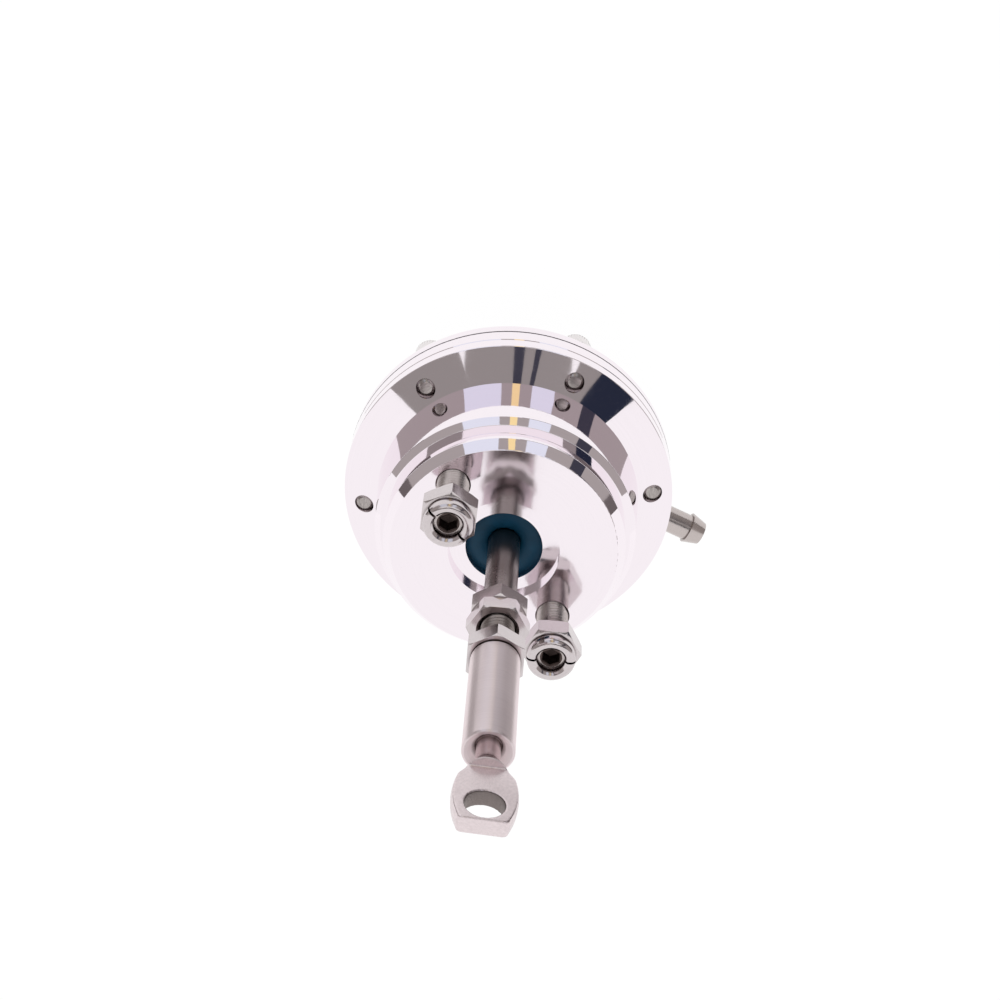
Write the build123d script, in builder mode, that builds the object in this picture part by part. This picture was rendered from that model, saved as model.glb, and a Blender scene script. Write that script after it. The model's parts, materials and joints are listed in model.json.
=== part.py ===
"""Diaphragm actuator that works the wastegate valve of a turbocharger.

A turned cap and a turned front housing are screwed together round a rolling
diaphragm.  Boost enters the cap through a hose barb and lifts a cup piston
against two nested springs, which pushes the rod and its adjustable eye out.

Millimetres.  +Z runs along the rod, from the flat rear face of the cap (z = 0)
to the end of the eye.  X and Y lie in that face, with a flange screw on +X.
"""
import os
from math import cos, radians, sin, sqrt, tan

from build123d import *

os.makedirs("parts", exist_ok=True)

# ---------------------------------------------------------------- fits
press_fit = 0.02            # radial gap of a part that is pressed or screwed in
running_fit = 0.05          # radial gap of a part that slides or turns
seat_gap = 0.3              # gap between a moving part and its stop

# ---------------------------------------------------------------- housing
flange_radius = 43.0
screw_count = 6
screw_edge_distance = 5.2   # from the flange's rim to the screws' centres
screw_radius = 2.5          # M5
screw_length = 16.0
screw_tip_chamfer = 0.9
screw_head_radius = 4.25
screw_head_height = 5.0
screw_head_chamfer = 0.45
screw_socket = 4.0          # across flats
screw_clearance = 0.2       # radial, in the cap and the diaphragm

screw_head_gap = 2.05       # between a screw head and the cap
cap_wall = 4.5
cap_floor = 3.5
cap_body_height = 23.5      # up to the rear of its flange
cap_flange_thickness = 5.45
cap_edge_round = 3.0
cap_rear_chamfer = 1.5

diaphragm_thickness = 0.6
front_flange_thickness = 8.45   # at its rim
flange_slope = 20.0         # degrees that the flange's front falls towards its rim
turned_line_depth = 0.25
turned_line_width = 0.5
turned_line_below_face = 3.8

screw_tip_land = 1.2        # between a screw hole and the foot of the wall
wall_draft = 1.0            # radial, from the wall's foot to its chamfer
chamber_wall = 4.6
end_wall_thickness = 11.0
wall_height = 20.0          # up to its chamfer
wall_chamfer = 1.6
ledge_width = 1.1
nose_height = 29.0          # front face above the flange
nose_chamfer_width = 1.95
nose_chamfer_height = 2.65
edge_break = 0.25           # rounding of the turned outer edges
recess_land = 4.4           # between the studs' holes and the recess
recess_depth = 2.2
vent_radius = 1.5
vent_angle = -98.0
vent_above_flange = 4.5

# ---------------------------------------------------------------- rod and guide
rod_radius = 4.0            # M8
rod_thread_chamfer = 0.8
rod_length_in_sleeve = 14.2
bush_radius = 6.0
bush_length = 11.0
guide_boss_radius = 8.5
guide_boss_length = 6.0
seal_radius = 9.65
seal_depth = 3.8            # of its pocket below the recess floor
seal_crown = 0.8            # how far the seal bulges round its mid ring
seal_step_down = 2.0        # of the seal's outer edge below the recess floor
seal_lip = 0.5

# ---------------------------------------------------------------- diaphragm and piston
stroke = 12.0
hat_wall = 0.8
hat_clearance = 0.3         # between hat and piston
roll_gap = 2.8              # between piston and cap bore, where the diaphragm rolls
piston_wall = 2.0
piston_crown = 2.5
retainer_step = 2.2         # how much smaller the plate is than the piston
retainer_thickness = 2.0
retainer_round = 1.2
tail_radius = 3.0           # M6 tail of the rod
piston_nut_width = 10.0
piston_nut_height = 5.0
piston_washer_radius = 7.5
piston_washer_thickness = 1.2

outer_wire_radius = 1.6
outer_coil_inset = 0.75     # from the middle of the space between inner spring and piston
outer_turns = 6.0
inner_wire_radius = 1.1
inner_coil_radius = 11.2
inner_turns = 7.0
seat_plate_thickness = 1.5
seat_plate_clearance = 2.2  # inside the piston's wall
seat_plate_lip = 1.0

# ---------------------------------------------------------------- mounting studs
stud_edge_distance = 8.0    # from the nose's side to the studs' centres
stud_angle = 120.0          # of the first stud, the second is opposite
stud_radius = 4.0           # M8
stud_length = 30.0
stud_socket = 4.0           # across flats
stud_socket_depth = 4.0
stud_chamfer = 0.6
stud_hole_chamfer = 0.35
nut_width = 13.0            # across flats, all M8 nuts
nut_corner_chamfer = 0.7
stud_nut_above_face = 12.4
stud_nut_hex_height = 5.1
stud_nut_collar_radius = 6.05
stud_nut_collar_height = 3.5
stud_nut_collar_chamfer = 0.85
stud_nut_undercut = 0.45
stud_nut_minor_radius = 3.35
stud_nut_slit = 0.6
stud_nut_slit_depth = 2.6
stud_nut_turns = {0: (88.7, -45.8), 180: (52.2, -7.8)}   # corner and slit direction

# ---------------------------------------------------------------- rod hardware
hold_nut_above_face = 27.0
hold_nut_height = 5.0
jam_nut_height = 4.4
free_thread = 8.1
lock_nut_height = 4.6
nut_bearing_gap = 0.1
jam_nut_countersink = 1.0
forward_angle = 82.2        # direction that the eye's flat face looks along

sleeve_radius = 5.75
sleeve_length = 34.2
sleeve_foot_chamfer = 0.3
sleeve_thread_depth = 20.0
funnel_radius = 5.2
eye_shank_radius = 3.0      # M6
eye_shank_length = 11.0
eye_neck_radius = 2.7
neck_start = 3.2            # of the flare, above the sleeve
shoulder_radius = 4.75
shoulder_above_sleeve = 8.0
shoulder_land = 0.4
eye_centre_above_sleeve = 19.9
eye_side_radius = 7.0       # at its widest
eye_widest_below_centre = 3.5
eye_side_curve = 21.5       # radius of the long curve of its side
eye_cone_height = 2.3       # from the shoulder's land to that curve
eye_end_above_centre = 5.1
eye_end_round = 0.9
eye_thickness = 4.0
eye_hole_radius = 4.27
eye_turn = -11.0            # direction of the eye's width
flat_corner_round = 0.7     # where a flat meets the shoulder

# ---------------------------------------------------------------- hose barb
barb_angle = -30.0
barb_height = 10.0
barb_thread_radius = 4.8
barb_thread_length = 3.4
barb_hex_width = 12.0
barb_hex_length = 5.0
barb_washer_thickness = 1.0
barb_washer_radius = 6.3
barb_spot_face_depth = 1.1
barb_length = 29.0          # from the spot face to the tip
barb_stem_radius = 3.6
barb_bulge_radius = 4.3
barb_bulge_length = 4.2
barb_tip_radius = 3.15
barb_bore_radius = 2.1

# ---------------------------------------------------------------- radii that follow
screw_circle_radius = flange_radius - screw_edge_distance
cap_radius = screw_circle_radius - screw_head_radius - screw_head_gap
cap_bore_radius = cap_radius - cap_wall
wall_foot_radius = screw_circle_radius - screw_radius - screw_tip_land
wall_top_radius = wall_foot_radius - wall_draft
chamber_radius = wall_top_radius - chamber_wall
ledge_radius = wall_top_radius - wall_chamfer
nose_radius = ledge_radius - ledge_width
face_radius = nose_radius - nose_chamfer_width
stud_circle_radius = nose_radius - stud_edge_distance
recess_radius = stud_circle_radius - stud_radius - recess_land
piston_radius = cap_bore_radius - roll_gap
piston_inner_radius = piston_radius - piston_wall
seat_plate_radius = piston_inner_radius - seat_plate_clearance
inner_spring_outside = inner_coil_radius + inner_wire_radius
outer_coil_radius = (inner_spring_outside + piston_inner_radius) / 2 - outer_coil_inset
retainer_radius = piston_radius - retainer_step
barb_seat_distance = cap_radius - barb_spot_face_depth
barb_tip_distance = barb_seat_distance + barb_length

# ---------------------------------------------------------------- heights that follow
diaphragm_bottom = cap_body_height + cap_flange_thickness
diaphragm_top = diaphragm_bottom + diaphragm_thickness
flange_face = diaphragm_top + front_flange_thickness
wall_foot = flange_face + (flange_radius - wall_foot_radius) * tan(radians(flange_slope))
wall_top = flange_face + wall_height
ledge = wall_top + wall_chamfer
front_face = flange_face + nose_height
recess_floor = front_face - recess_depth
chamber_end = front_face - end_wall_thickness
seal_bottom = recess_floor - seal_depth
boss_bottom = chamber_end - guide_boss_length

nut_bottom = cap_floor + seat_gap
retainer_bottom = nut_bottom + piston_nut_height
hat_bottom = retainer_bottom + retainer_thickness
piston_bottom = hat_bottom + diaphragm_thickness
piston_floor = piston_bottom + piston_crown
rod_shoulder = piston_floor + piston_washer_thickness
piston_top = chamber_end - stroke - seat_gap
seat_plate_bottom = chamber_end - seat_plate_thickness

stud_nut_bottom = front_face + stud_nut_above_face
hold_nut_bottom = front_face + hold_nut_above_face
jam_nut_bottom = hold_nut_bottom + hold_nut_height
lock_nut_bottom = jam_nut_bottom + jam_nut_height + free_thread
sleeve_bottom = lock_nut_bottom + lock_nut_height + nut_bearing_gap
sleeve_top = sleeve_bottom + sleeve_length
rod_top = sleeve_bottom + rod_length_in_sleeve
eye_centre = sleeve_top + eye_centre_above_sleeve
eye_end = eye_centre + eye_end_above_centre

barb_axis = Plane(
    origin=(0, 0, barb_height),
    x_dir=(0, 0, 1),
    z_dir=(cos(radians(barb_angle)), sin(radians(barb_angle)), 0),
)
eye_axis = Plane(
    origin=(0, 0, eye_centre),
    x_dir=(cos(radians(eye_turn)), sin(radians(eye_turn)), 0),
    z_dir=(-sin(radians(eye_turn)), cos(radians(eye_turn)), 0),
)
screw_places = PolarLocations(screw_circle_radius, screw_count)
stud_places = PolarLocations(stud_circle_radius, 2, start_angle=stud_angle)


# ---------------------------------------------------------------- shared shapes
def ring_section(*corners):
    """Half section through the given corners, ready to be revolved about Z."""
    Polygon(*corners, align=None)


def hex_nut(bottom, height, hole_radius, corner_angle, countersink):
    """Plain M8 nut with both ends chamfered at the corners."""
    corner_radius = nut_width / sqrt(3)
    rim = corner_radius - nut_corner_chamfer
    drop = nut_corner_chamfer * tan(radians(30))
    with BuildPart() as nut:
        with BuildSketch(Plane.XY.offset(bottom)):
            RegularPolygon(nut_width / 2, 6, major_radius=False, rotation=corner_angle)
        extrude(amount=height)
        with BuildSketch(Plane.XZ):
            ring_section(
                (0, bottom),
                (rim, bottom),
                (corner_radius, bottom + drop),
                (corner_radius, bottom + height - drop),
                (rim, bottom + height),
                (0, bottom + height),
            )
        revolve(mode=Mode.INTERSECT)
        with BuildSketch(Plane.XZ):
            ring_section(
                (0, bottom),
                (hole_radius, bottom),
                (hole_radius, bottom + height - countersink),
                (hole_radius + countersink, bottom + height),
                (0, bottom + height),
            )
        revolve(mode=Mode.SUBTRACT)
    return nut.part


def coil_spring(bottom, top, coil_radius, wire_radius, turns):
    """Helical compression spring with both ends ground flat."""
    pitch = (top - bottom) / turns
    with BuildPart() as spring:
        with BuildLine(Plane.XY.offset(bottom)):
            coil = Helix(pitch, top - bottom, coil_radius)
        with BuildSketch(Plane(origin=coil @ 0, z_dir=coil % 0)):
            Circle(wire_radius)
        sweep()
        with BuildSketch(Plane.XY.offset(bottom)):
            Circle(coil_radius + 2 * wire_radius)
        extrude(amount=top - bottom, mode=Mode.INTERSECT)
    return spring.part


# ---------------------------------------------------------------- cap behind the diaphragm
with BuildPart() as lower_housing:
    with BuildSketch(Plane.XZ):
        with BuildLine():
            Polyline(
                (0, 0),
                (cap_radius - cap_rear_chamfer, 0),
                (cap_radius, cap_rear_chamfer),
                (cap_radius, cap_body_height),
                (flange_radius - cap_edge_round, cap_body_height),
            )
            RadiusArc(
                (flange_radius - cap_edge_round, cap_body_height),
                (flange_radius, cap_body_height + cap_edge_round),
                -cap_edge_round,
            )
            Polyline(
                (flange_radius, cap_body_height + cap_edge_round),
                (flange_radius, diaphragm_bottom),
                (cap_bore_radius, diaphragm_bottom),
                (cap_bore_radius, cap_floor),
                (0, cap_floor),
                (0, 0),
            )
        make_face()
    revolve()
    with BuildSketch(Plane.XY.offset(cap_body_height)):
        with screw_places:
            Circle(screw_radius + screw_clearance)
    extrude(amount=cap_flange_thickness, mode=Mode.SUBTRACT)
    with BuildSketch(barb_axis.offset(barb_seat_distance)):
        Circle(barb_hex_width / sqrt(3) + screw_clearance)
    extrude(amount=cap_radius, mode=Mode.SUBTRACT)
    with BuildSketch(barb_axis.offset(cap_bore_radius / 2)):
        Circle(barb_thread_radius + press_fit)
    extrude(amount=cap_radius, mode=Mode.SUBTRACT)
lower_housing.part.label = "lower_housing"
export_step(lower_housing.part, "parts/lower_housing.step")

# ---------------------------------------------------------------- front housing
turned_line = flange_face - turned_line_below_face
with BuildPart() as upper_housing:
    with BuildSketch(Plane.XZ):
        ring_section(
            (chamber_radius, diaphragm_top),
            (flange_radius, diaphragm_top),
            (flange_radius, turned_line - turned_line_width / 2),
            (flange_radius - turned_line_depth, turned_line),
            (flange_radius, turned_line + turned_line_width / 2),
            (flange_radius, flange_face),
            (wall_foot_radius, wall_foot),
            (wall_top_radius, wall_top),
            (ledge_radius, ledge),
            (nose_radius, ledge),
            (nose_radius, front_face - nose_chamfer_height),
            (face_radius, front_face),
            (recess_radius, front_face),
            (recess_radius, recess_floor),
            (seal_radius + press_fit, recess_floor),
            (seal_radius + press_fit, seal_bottom),
            (bush_radius + press_fit, seal_bottom),
            (bush_radius + press_fit, boss_bottom),
            (guide_boss_radius, boss_bottom),
            (guide_boss_radius, chamber_end),
            (chamber_radius, chamber_end),
        )
    revolve()
    turned_edges = upper_housing.edges().filter_by(GeomType.CIRCLE)
    for edge_radius, edge_height in (
        (flange_radius, flange_face),
        (wall_top_radius, wall_top),
        (ledge_radius, ledge),
        (nose_radius, front_face - nose_chamfer_height),
        (face_radius, front_face),
    ):
        turned_edge = turned_edges.filter_by(
            lambda edge: abs(edge.radius - edge_radius) < press_fit
            and abs(edge.center().Z - edge_height) < press_fit
        )
        fillet(turned_edge, edge_break)
    with BuildSketch(Plane.XY.offset(diaphragm_top)):
        with screw_places:
            Circle(screw_radius + press_fit)
    extrude(amount=wall_foot - diaphragm_top, mode=Mode.SUBTRACT)
    with BuildSketch(Plane.XY.offset(chamber_end)):
        with stud_places:
            Circle(stud_radius + press_fit)
    extrude(amount=end_wall_thickness, mode=Mode.SUBTRACT)
    stud_mouths = upper_housing.edges().filter_by(GeomType.CIRCLE).filter_by(
        lambda edge: abs(edge.radius - stud_radius - press_fit) < press_fit / 2
        and abs(edge.center().Z - front_face) < press_fit
    )
    chamfer(stud_mouths, stud_hole_chamfer)
    vent_plane = Plane(
        origin=(0, 0, flange_face + vent_above_flange),
        z_dir=(cos(radians(vent_angle)), sin(radians(vent_angle)), 0),
    )
    with BuildSketch(vent_plane.offset(chamber_radius / 2)):
        Circle(vent_radius)
    extrude(amount=chamber_radius, mode=Mode.SUBTRACT)
upper_housing.part.label = "upper_housing"
export_step(upper_housing.part, "parts/upper_housing.step")

# ---------------------------------------------------------------- flange screws, heads at the rear
screw_tip = cap_body_height + screw_length
with BuildPart() as flange_screws:
    with BuildSketch(Plane.XY.offset(cap_body_height - screw_head_height)):
        with screw_places:
            Circle(screw_head_radius)
    extrude(amount=screw_head_height)
    chamfer(flange_screws.edges().group_by(Axis.Z)[0], screw_head_chamfer)
    with BuildSketch(Plane.XY.offset(cap_body_height)):
        with screw_places:
            Circle(screw_radius)
    extrude(amount=screw_length)
    chamfer(flange_screws.edges().group_by(Axis.Z)[-1], screw_tip_chamfer)
    with BuildSketch(Plane.XY.offset(cap_body_height - screw_head_height)):
        with screw_places:
            RegularPolygon(screw_socket / 2, 6, major_radius=False)
    extrude(amount=screw_head_height / 2, mode=Mode.SUBTRACT)
flange_screws.part.label = "flange_screws"
export_step(flange_screws.part, "parts/flange_screws.step")

# ---------------------------------------------------------------- rolling diaphragm
hat_inner_radius = piston_radius + hat_clearance
hat_mouth_radius = cap_bore_radius - hat_clearance
with BuildPart() as diaphragm:
    with BuildSketch(Plane.XZ):
        ring_section(
            (tail_radius + press_fit, hat_bottom),
            (hat_inner_radius + hat_wall, hat_bottom),
            (hat_mouth_radius, diaphragm_bottom),
            (flange_radius - hat_clearance, diaphragm_bottom),
            (flange_radius - hat_clearance, diaphragm_top),
            (hat_mouth_radius - hat_wall, diaphragm_top),
            (hat_inner_radius, piston_bottom),
            (tail_radius + press_fit, piston_bottom),
        )
    revolve()
    with BuildSketch(Plane.XY.offset(diaphragm_bottom)):
        with screw_places:
            Circle(screw_radius + screw_clearance)
    extrude(amount=diaphragm_thickness, mode=Mode.SUBTRACT)
diaphragm.part.label = "diaphragm"
export_step(diaphragm.part, "parts/diaphragm.step")

# ---------------------------------------------------------------- cup piston inside the hat
with BuildPart() as piston:
    with BuildSketch(Plane.XZ):
        ring_section(
            (tail_radius + press_fit, piston_bottom),
            (piston_inner_radius, piston_bottom),
            (piston_radius, piston_bottom + piston_wall),
            (piston_radius, piston_top),
            (piston_inner_radius, piston_top),
            (piston_inner_radius, piston_floor),
            (tail_radius + press_fit, piston_floor),
        )
    revolve()
piston.part.label = "piston"
export_step(piston.part, "parts/piston.step")

# ---------------------------------------------------------------- plate that clamps the hat to the piston
with BuildPart() as retainer_plate:
    with BuildSketch(Plane.XY.offset(retainer_bottom)):
        Circle(retainer_radius)
        Circle(tail_radius + press_fit, mode=Mode.SUBTRACT)
    extrude(amount=retainer_thickness)
    rim = retainer_plate.edges().group_by(Axis.Z)[0].sort_by(SortBy.RADIUS)[-1]
    fillet(rim, retainer_round)
retainer_plate.part.label = "retainer_plate"
export_step(retainer_plate.part, "parts/retainer_plate.step")

with BuildPart() as piston_washer:
    with BuildSketch(Plane.XY.offset(piston_floor)):
        Circle(piston_washer_radius)
        Circle(tail_radius + press_fit, mode=Mode.SUBTRACT)
    extrude(amount=piston_washer_thickness)
piston_washer.part.label = "piston_washer"
export_step(piston_washer.part, "parts/piston_washer.step")

with BuildPart() as piston_nut:
    with BuildSketch(Plane.XY.offset(nut_bottom)):
        RegularPolygon(piston_nut_width / 2, 6, major_radius=False)
        Circle(tail_radius + press_fit, mode=Mode.SUBTRACT)
    extrude(amount=piston_nut_height)
piston_nut.part.label = "piston_nut"
export_step(piston_nut.part, "parts/piston_nut.step")

# ---------------------------------------------------------------- rod with its M6 tail and M8 thread
with BuildPart() as actuator_rod:
    with BuildSketch(Plane.XZ):
        ring_section(
            (0, nut_bottom),
            (tail_radius, nut_bottom),
            (tail_radius, rod_shoulder),
            (rod_radius, rod_shoulder),
            (rod_radius, rod_top - rod_thread_chamfer),
            (rod_radius - rod_thread_chamfer, rod_top),
            (0, rod_top),
        )
    revolve()
actuator_rod.part.label = "actuator_rod"
export_step(actuator_rod.part, "parts/actuator_rod.step")

# ---------------------------------------------------------------- nested springs and their seat
with BuildPart() as spring_seat:
    with BuildSketch(Plane.XZ):
        ring_section(
            (guide_boss_radius + seat_gap, seat_plate_bottom - seat_plate_lip),
            (guide_boss_radius + 2 * seat_gap, seat_plate_bottom - seat_plate_lip),
            (guide_boss_radius + 2 * seat_gap, seat_plate_bottom),
            (seat_plate_radius, seat_plate_bottom),
            (seat_plate_radius, chamber_end),
            (guide_boss_radius + seat_gap, chamber_end),
        )
    revolve()
spring_seat.part.label = "spring_seat"
export_step(spring_seat.part, "parts/spring_seat.step")

outer_spring = coil_spring(
    piston_floor, seat_plate_bottom, outer_coil_radius, outer_wire_radius, outer_turns
)
outer_spring.label = "outer_spring"
export_step(outer_spring, "parts/outer_spring.step")

inner_spring = coil_spring(
    piston_floor, seat_plate_bottom, inner_coil_radius, inner_wire_radius, inner_turns
)
inner_spring.label = "inner_spring"
export_step(inner_spring, "parts/inner_spring.step")

# ---------------------------------------------------------------- guide bush and rod seal
with BuildPart() as guide_bush:
    with BuildSketch(Plane.XY.offset(seal_bottom - bush_length)):
        Circle(bush_radius)
        Circle(rod_radius + running_fit, mode=Mode.SUBTRACT)
    extrude(amount=bush_length)
guide_bush.part.label = "guide_bush"
export_step(guide_bush.part, "parts/guide_bush.step")

seal_edge = recess_floor - seal_step_down
lip_radius = rod_radius + running_fit + seal_lip
with BuildPart() as rod_seal:
    with BuildSketch(Plane.XZ):
        with BuildLine():
            Polyline(
                (lip_radius, seal_edge),
                (rod_radius + running_fit, seal_edge - seal_lip),
                (rod_radius + running_fit, seal_bottom),
                (seal_radius, seal_bottom),
                (seal_radius, seal_edge),
            )
            SagittaArc((seal_radius, seal_edge), (lip_radius, seal_edge), -seal_crown)
        make_face()
    revolve()
rod_seal.part.label = "rod_seal"
export_step(rod_seal.part, "parts/rod_seal.step")

# ---------------------------------------------------------------- mounting studs and slotted lock nuts
with BuildPart() as mounting_studs:
    with BuildSketch(Plane.XY.offset(chamber_end)):
        with stud_places:
            Circle(stud_radius)
    extrude(amount=stud_length)
    chamfer(mounting_studs.edges().filter_by(GeomType.CIRCLE), stud_chamfer)
    with BuildSketch(Plane.XY.offset(chamber_end + stud_length - stud_socket_depth)):
        with stud_places:
            RegularPolygon(stud_socket / 2, 6, major_radius=False)
    extrude(amount=stud_socket_depth, mode=Mode.SUBTRACT)
mounting_studs.part.label = "mounting_studs"
export_step(mounting_studs.part, "parts/mounting_studs.step")

stud_top = chamber_end + stud_length
collar_bottom = stud_nut_bottom + stud_nut_hex_height
stud_nut_top = collar_bottom + stud_nut_collar_height
collar_shoulder = stud_nut_top - stud_nut_collar_chamfer


def slotted_nut(corner_angle, slit_angle):
    """All-metal lock nut: hex body and a round collar sawn through at two sides."""
    corner_radius = nut_width / sqrt(3)
    rim = corner_radius - nut_corner_chamfer
    drop = nut_corner_chamfer * tan(radians(30))
    with BuildPart() as nut:
        with BuildSketch(Plane.XY.offset(stud_nut_bottom)):
            RegularPolygon(nut_width / 2, 6, major_radius=False, rotation=corner_angle)
        extrude(amount=stud_nut_hex_height)
        with BuildSketch(Plane.XZ):
            ring_section(
                (0, stud_nut_bottom),
                (rim, stud_nut_bottom),
                (corner_radius, stud_nut_bottom + drop),
                (corner_radius, collar_bottom - nut_corner_chamfer),
                (stud_nut_collar_radius, collar_bottom),
                (0, collar_bottom),
            )
        revolve(mode=Mode.INTERSECT)
        with BuildSketch(Plane.XZ):
            ring_section(
                (0, collar_bottom),
                (stud_nut_collar_radius - stud_nut_undercut, collar_bottom),
                (stud_nut_collar_radius, collar_bottom + stud_nut_undercut),
                (stud_nut_collar_radius, collar_shoulder),
                (stud_nut_collar_radius - stud_nut_collar_chamfer, stud_nut_top),
                (0, stud_nut_top),
            )
        revolve()
        with BuildSketch(Plane.XZ):
            ring_section(
                (0, stud_nut_bottom),
                (stud_radius + press_fit, stud_nut_bottom),
                (stud_radius + press_fit, stud_top),
                (stud_nut_minor_radius, stud_top),
                (stud_nut_minor_radius, stud_nut_top),
                (0, stud_nut_top),
            )
        revolve(mode=Mode.SUBTRACT)
        with BuildSketch(Plane.XY.offset(stud_nut_top - stud_nut_slit_depth)):
            Rectangle(2 * nut_width, stud_nut_slit, rotation=slit_angle)
        extrude(amount=stud_nut_slit_depth, mode=Mode.SUBTRACT)
    return nut.part


with BuildPart() as stud_lock_nuts:
    for opposite, (corner_angle, slit_angle) in stud_nut_turns.items():
        angle = radians(stud_angle + opposite)
        with Locations((stud_circle_radius * cos(angle), stud_circle_radius * sin(angle))):
            add(slotted_nut(corner_angle, slit_angle))
stud_lock_nuts.part.label = "stud_lock_nuts"
export_step(stud_lock_nuts.part, "parts/stud_lock_nuts.step")

# ---------------------------------------------------------------- nuts on the rod
rod_hold_nut = hex_nut(
    hold_nut_bottom, hold_nut_height, rod_radius + press_fit, forward_angle, press_fit
)
rod_hold_nut.label = "rod_hold_nut"
export_step(rod_hold_nut, "parts/rod_hold_nut.step")

rod_jam_nut = hex_nut(
    jam_nut_bottom, jam_nut_height, rod_radius + press_fit, forward_angle + 30, jam_nut_countersink
)
rod_jam_nut.label = "rod_jam_nut"
export_step(rod_jam_nut, "parts/rod_jam_nut.step")

sleeve_lock_nut = hex_nut(
    lock_nut_bottom, lock_nut_height, rod_radius + running_fit, forward_angle, press_fit
)
sleeve_lock_nut.label = "sleeve_lock_nut"
export_step(sleeve_lock_nut, "parts/sleeve_lock_nut.step")

# ---------------------------------------------------------------- adjuster sleeve
shank_bore_radius = eye_shank_radius + press_fit
funnel_depth = funnel_radius - shank_bore_radius
thread_end = sleeve_bottom + sleeve_thread_depth
with BuildPart() as adjuster_sleeve:
    with BuildSketch(Plane.XZ):
        ring_section(
            (rod_radius + running_fit, sleeve_bottom),
            (sleeve_radius - sleeve_foot_chamfer, sleeve_bottom),
            (sleeve_radius, sleeve_bottom + sleeve_foot_chamfer),
            (sleeve_radius, sleeve_top - sleeve_foot_chamfer),
            (sleeve_radius - sleeve_foot_chamfer, sleeve_top),
            (funnel_radius, sleeve_top),
            (shank_bore_radius, sleeve_top - funnel_depth),
            (shank_bore_radius, thread_end),
            (rod_radius + running_fit, thread_end),
        )
    revolve()
adjuster_sleeve.part.label = "adjuster_sleeve"
export_step(adjuster_sleeve.part, "parts/adjuster_sleeve.step")

# ---------------------------------------------------------------- rod end: turned ball with two milled flats
shank_top = sleeve_top - funnel_depth
neck_bottom = sleeve_top + neck_start
shoulder = sleeve_top + shoulder_above_sleeve
land_top = shoulder + shoulder_land
cone_top = land_top + eye_cone_height
widest = eye_centre - eye_widest_below_centre
eye_flat = eye_thickness / 2
flat_start = shoulder + shoulder_land / 2
eye_profile = Plane(
    origin=(0, 0, 0),
    x_dir=eye_axis.z_dir,
    z_dir=eye_axis.x_dir,
)


def side_radius(height):
    """Radius of the eye's turned side at a height on its long curve."""
    return eye_side_radius - eye_side_curve + sqrt(eye_side_curve**2 - (height - widest) ** 2)


with BuildPart() as rod_end_eye:
    with BuildSketch(Plane.XZ):
        with BuildLine():
            Polyline(
                (0, shank_top - eye_shank_length),
                (eye_shank_radius, shank_top - eye_shank_length),
                (eye_shank_radius, shank_top),
                (eye_neck_radius, shank_top),
                (eye_neck_radius, neck_bottom),
            )
            RadiusArc(
                (eye_neck_radius, neck_bottom),
                (shoulder_radius, shoulder),
                2 * (shoulder - neck_bottom),
            )
            Polyline(
                (shoulder_radius, shoulder),
                (shoulder_radius, land_top),
                (side_radius(cone_top), cone_top),
            )
            ThreePointArc(
                (side_radius(cone_top), cone_top),
                (eye_side_radius, widest),
                (side_radius(eye_end), eye_end),
            )
            Polyline(
                (side_radius(eye_end), eye_end),
                (0, eye_end),
                (0, shank_top - eye_shank_length),
            )
        make_face()
    revolve()
    end_edge = rod_end_eye.edges().group_by(Axis.Z)[-1]
    fillet(end_edge, eye_end_round)
    for side in (-1, 1):
        with BuildSketch(eye_profile):
            with BuildLine():
                Polyline(
                    (side * (eye_flat + flat_corner_round), flat_start),
                    (side * 2 * eye_side_radius, flat_start),
                    (side * 2 * eye_side_radius, eye_end),
                    (side * eye_flat, eye_end),
                    (side * eye_flat, flat_start + flat_corner_round),
                )
                RadiusArc(
                    (side * eye_flat, flat_start + flat_corner_round),
                    (side * (eye_flat + flat_corner_round), flat_start),
                    -side * flat_corner_round,
                )
            make_face()
        extrude(amount=2 * eye_side_radius, both=True, mode=Mode.SUBTRACT)
    with BuildSketch(eye_axis.offset(-eye_side_radius)):
        Circle(eye_hole_radius)
    extrude(amount=2 * eye_side_radius, mode=Mode.SUBTRACT)
rod_end_eye.part.label = "rod_end_eye"
export_step(rod_end_eye.part, "parts/rod_end_eye.step")

# ---------------------------------------------------------------- hose barb and its washer
washer_face = barb_seat_distance + barb_washer_thickness
hex_end = washer_face + barb_hex_length
bulge_start = barb_tip_distance - barb_bulge_length
with BuildPart() as hose_barb:
    with BuildSketch(barb_axis.offset(barb_seat_distance - barb_thread_length)):
        Circle(barb_thread_radius)
    extrude(amount=barb_thread_length + barb_washer_thickness)
    with BuildSketch(barb_axis.offset(washer_face)):
        RegularPolygon(barb_hex_width / 2, 6, major_radius=False)
    extrude(amount=barb_hex_length)
    with BuildSketch(barb_axis.offset(hex_end)):
        Circle(barb_stem_radius)
    extrude(amount=bulge_start - hex_end)
    with BuildSketch(barb_axis.offset(bulge_start)):
        Circle(barb_bulge_radius)
    with BuildSketch(barb_axis.offset(barb_tip_distance)):
        Circle(barb_tip_radius)
    loft()
    with BuildSketch(barb_axis):
        Circle(barb_bore_radius)
    extrude(amount=barb_tip_distance, mode=Mode.SUBTRACT)
hose_barb.part.label = "hose_barb"
export_step(hose_barb.part, "parts/hose_barb.step")

with BuildPart() as barb_washer:
    with BuildSketch(barb_axis.offset(barb_seat_distance)):
        Circle(barb_washer_radius)
        Circle(barb_thread_radius + press_fit, mode=Mode.SUBTRACT)
    extrude(amount=barb_washer_thickness)
barb_washer.part.label = "barb_washer"
export_step(barb_washer.part, "parts/barb_washer.step")
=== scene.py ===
"""Dresses the wastegate actuator: materials, fine pieces, stage, lights and camera.

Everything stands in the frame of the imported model: metres, +Z along the rod,
the rear face of the cap on the floor.  Named sizes are in millimetres.
"""

import json
from math import cos, degrees, pi, radians, sin, sqrt, tan

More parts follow.
